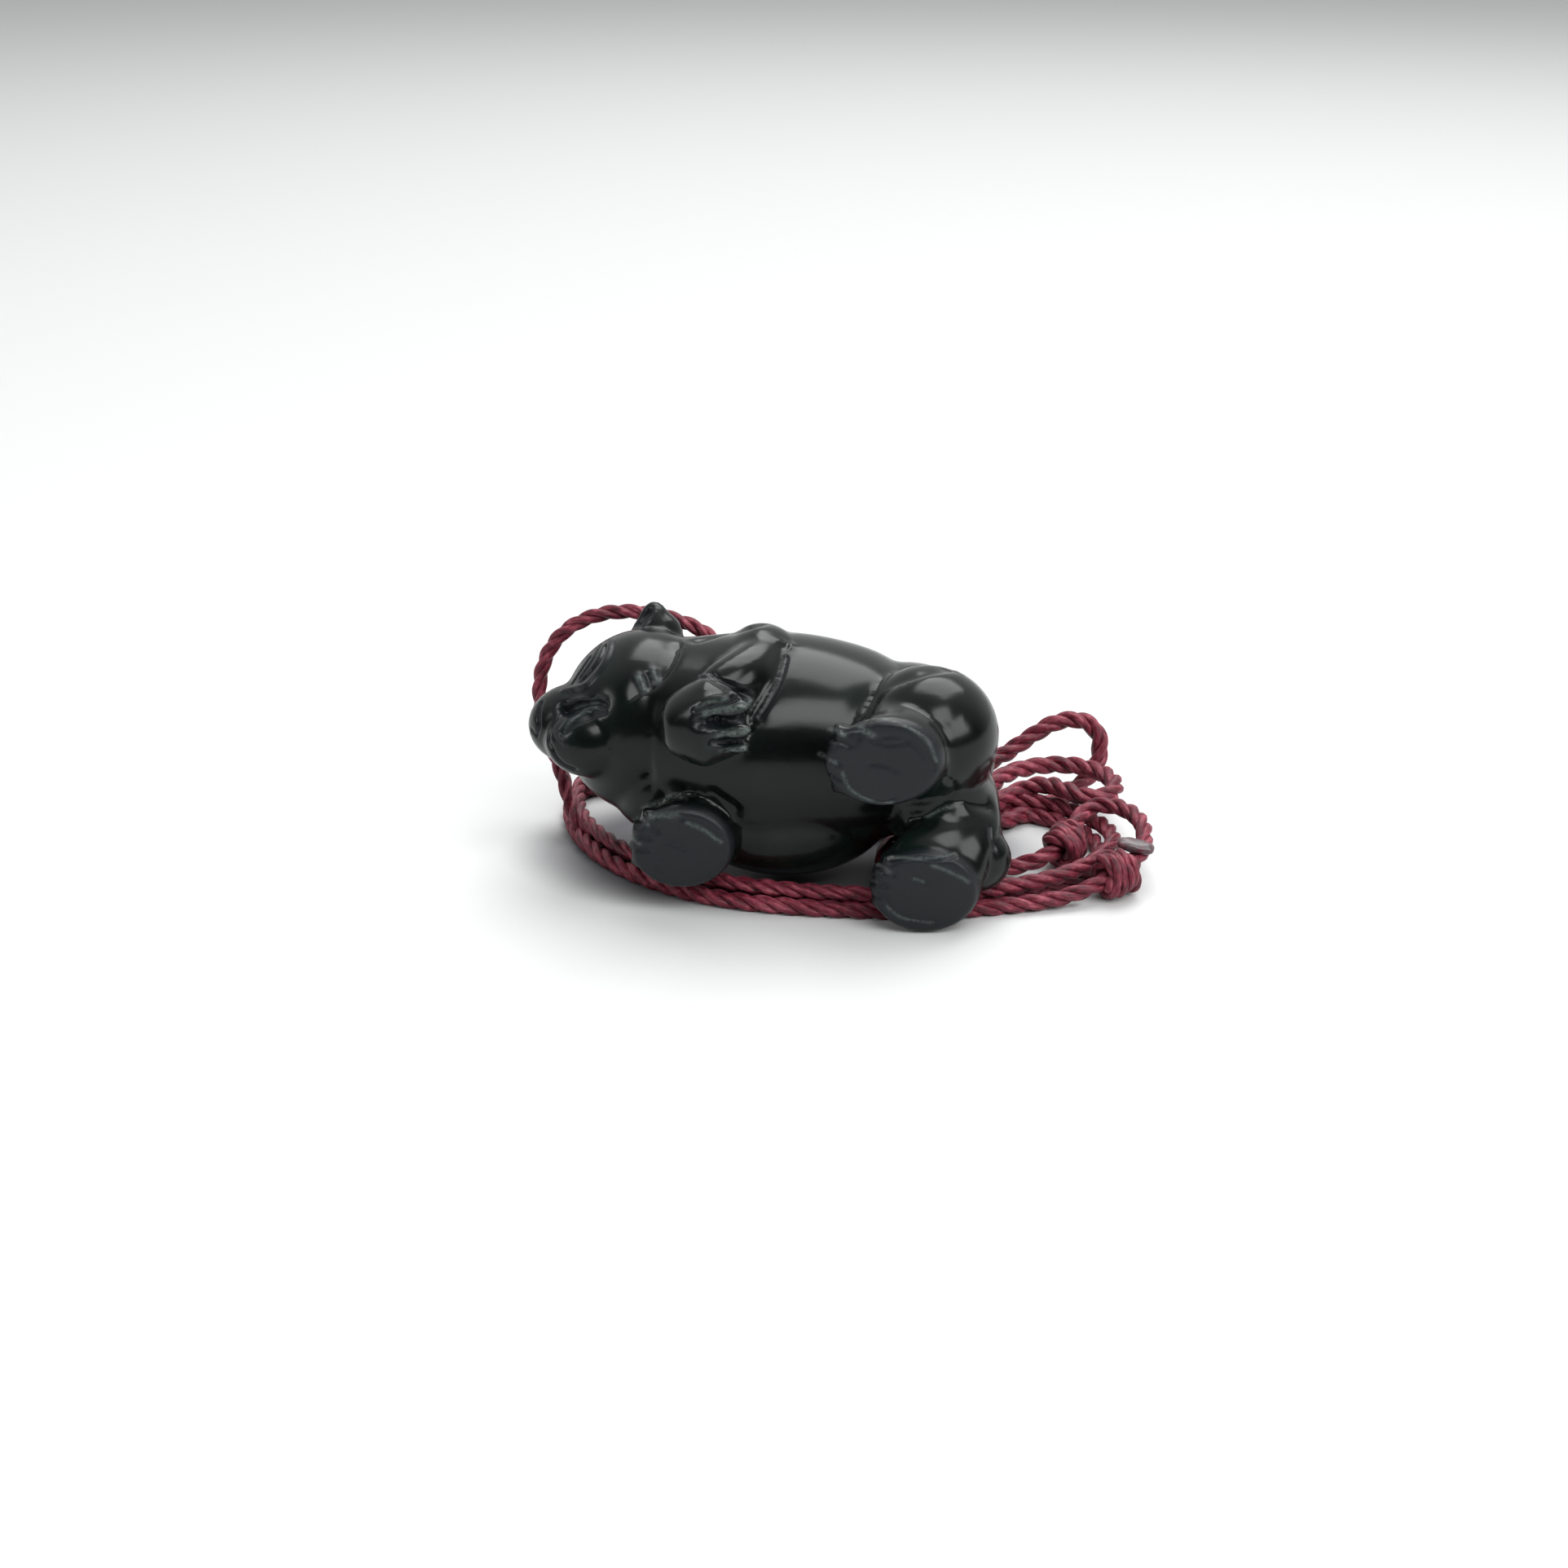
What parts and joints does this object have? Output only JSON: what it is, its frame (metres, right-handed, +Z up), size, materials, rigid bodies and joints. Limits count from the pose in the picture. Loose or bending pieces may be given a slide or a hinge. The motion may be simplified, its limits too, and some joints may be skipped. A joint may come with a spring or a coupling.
{
  "type": "carved stone bear pendant on a neck cord",
  "caption": "Walking bear carved from dark green stone, drilled through the shoulder hump and strung on a twisted neck cord with sliding knots, lying on its side on the cord.",
  "frame": {"origin": "on the floor, under the middle of the stone bear, which lies on its right side", "axes": "+X from the nose to the rump, +Y from the soles to the back, +Z up, which is the bear's left side"},
  "size_m": [0.0635, 0.0368, 0.026],
  "materials": {
    "stone": "polished, with satin soles",
    "cord": "waxed twisted thread",
    "melted_cord": "melted and glossy"
  },
  "bodies": {
    "root": {"bear": "stone", "cord_arch": "cord", "cord_under": "cord", "cord_high_loop": "cord", "cord_low_loop": "cord", "cord_lead": "cord", "cord_link": "cord", "hank": "cord", "back_knot": "cord", "front_knot": "cord", "melted_tip": "melted_cord"}
  },
  "joints": []
}
